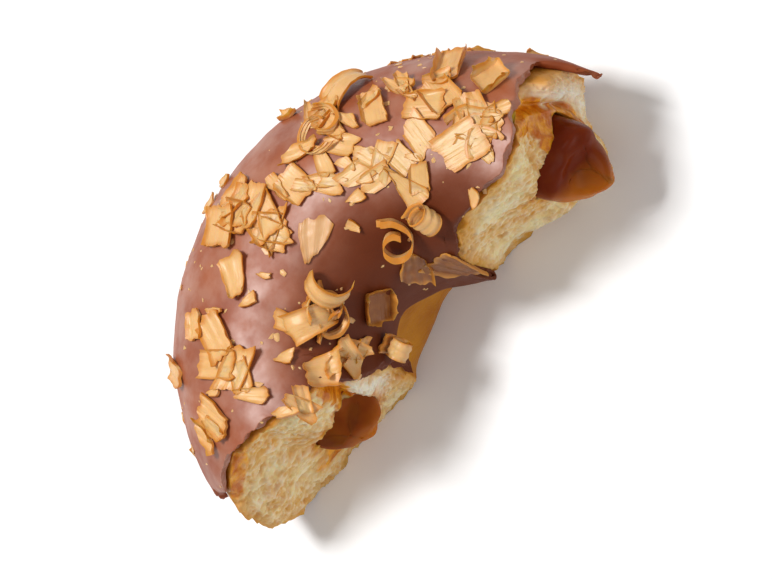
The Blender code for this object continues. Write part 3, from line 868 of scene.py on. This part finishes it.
# More of the same on the outer slope, down towards the table, and finer crumbs of it all over.
OUTER_FLAKES, CRUMBS = 24, 200
OUTER_SLOPE = 0.42  # how steeply the upper edge of that slope falls away from the middle of the piece
dice = random.Random(SCATTER_SEED)
for count in range(OUTER_FLAKES):
    shape = dice.choice(("flat", "ridged", "tray", "leaf", "leaf", "chip", "arrow", "flat"))
    length = dice.uniform(2.2, 4.2)
    piece = flake(shape, length, length * dice.uniform(0.5, 0.9), 500 + count * 2.3)
    bmesh.ops.scale(piece, vec=(1.0, 1.0, 0.6), verts=piece.verts)
    bearing = dice.uniform(4, 126)
    upper_edge = math.degrees(math.atan(OUTER_SLOPE * math.cos(math.radians(bearing - ARC / 2))))
    turn = dice.triangular(-10, upper_edge - 8, upper_edge - 9)
    lay(piles["shavings"], piece, bearing, turn, dice.uniform(0, 360), drape=1.0)
for _ in range(CRUMBS):
    size = dice.uniform(0.12, 0.3) if dice.random() < 0.85 else dice.uniform(0.35, 0.6)
    piece = shaving_mesh()
    bmesh.ops.create_icosphere(piece, subdivisions=1, radius=size)
    for vert in piece.verts:
        vert.co *= dice.uniform(0.4, 1.3)
        vert.co.x *= 1.5
        vert.co.z *= 0.5
    bearing, turn = dice.uniform(-3, 137), dice.gauss(68, 38)
    lay(piles["crumbs"], piece, bearing, min(182, max(-20, turn)), dice.uniform(0, 360))


def scraped_chocolate(name, middle, side, edge_scatter):
    """Scraped chocolate: satin, with lines 0.4 mm apart along the cut, clouds 1.7 mm wide, and a deeper
    colour painted at its raised sides and ends, as painted shade at its edges and painted light coming
    through them."""
    made = bpy.data.materials.new(name)
    tree = new_tree(made)
    rim = add(tree, "Attribute", {"attribute_name": "rim"})["Fac"]
    grain = add(tree, "Attribute", {"attribute_name": "grain"})["Vector"]
    place = add(tree, "TexCoord")["Object"]
    cloud = add(tree, "TexNoise", {}, {"Vector": place, "Scale": 600.0, "Detail": 3.0})["Fac"]
    lined = add(tree, "VectorMath", {"operation": "MULTIPLY"}, {0: grain, 1: (2.6, 0.22, 1.0)})["Vector"]
    lines = add(tree, "TexNoise", {}, {"Vector": lined, "Scale": 1.0, "Detail": 2.0})["Fac"]
    mixed = add(tree, "Math", {"operation": "MULTIPLY_ADD"}, {0: cloud, 1: 0.9, 2: -0.45})[0]
    mixed = add(tree, "Math", {"operation": "ADD", "use_clamp": True}, {0: rim, 1: mixed})[0]
    colour = add(tree, "MixRGB", {}, {
        "Fac": mixed, "Color1": hex_colour(middle), "Color2": hex_colour(side),
    })[0]
    height = add(tree, "Math", {"operation": "MULTIPLY_ADD"}, {0: cloud, 1: 0.5, 2: lines})[0]
    raised = add(tree, "Bump", {}, {"Height": height, "Strength": 0.7, "Distance": 0.00015})["Normal"]
    body = add(tree, "BsdfPrincipled", {}, {
        "Base Color": colour, "Roughness": 0.38, "Normal": raised, "Subsurface Weight": edge_scatter,
        "Subsurface Radius": (1.0, 0.5, 0.15), "Subsurface Scale": 0.0008, "Specular IOR Level": 0.4,
    })[0]
    add(tree, "OutputMaterial", {}, {"Surface": body})
    return made


# Each pile's middle colour, the deeper colour painted at its sides as shade and light coming through, and
# how much light enters it.
for kind, name, middle, side, scatter in (
    ("shavings", "caramel_chocolate_shavings", "dfae70", "c97e20", 0.3),
    ("pressed", "sunken_shavings", "d4a574", "bc7e38", 0.2),
    ("filmed", "filmed_shavings", "8a4f1c", "cc8a38", 0.2),
    ("crumbs", "shaving_crumbs", "dcaa70", "cc8a38", 0.3),
):
    surface = scraped_chocolate(name.replace("_", " "), middle, side, scatter)
    laid = made_object(piles[kind], name, [surface], sharp_degrees=38)
    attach(laid, "root")
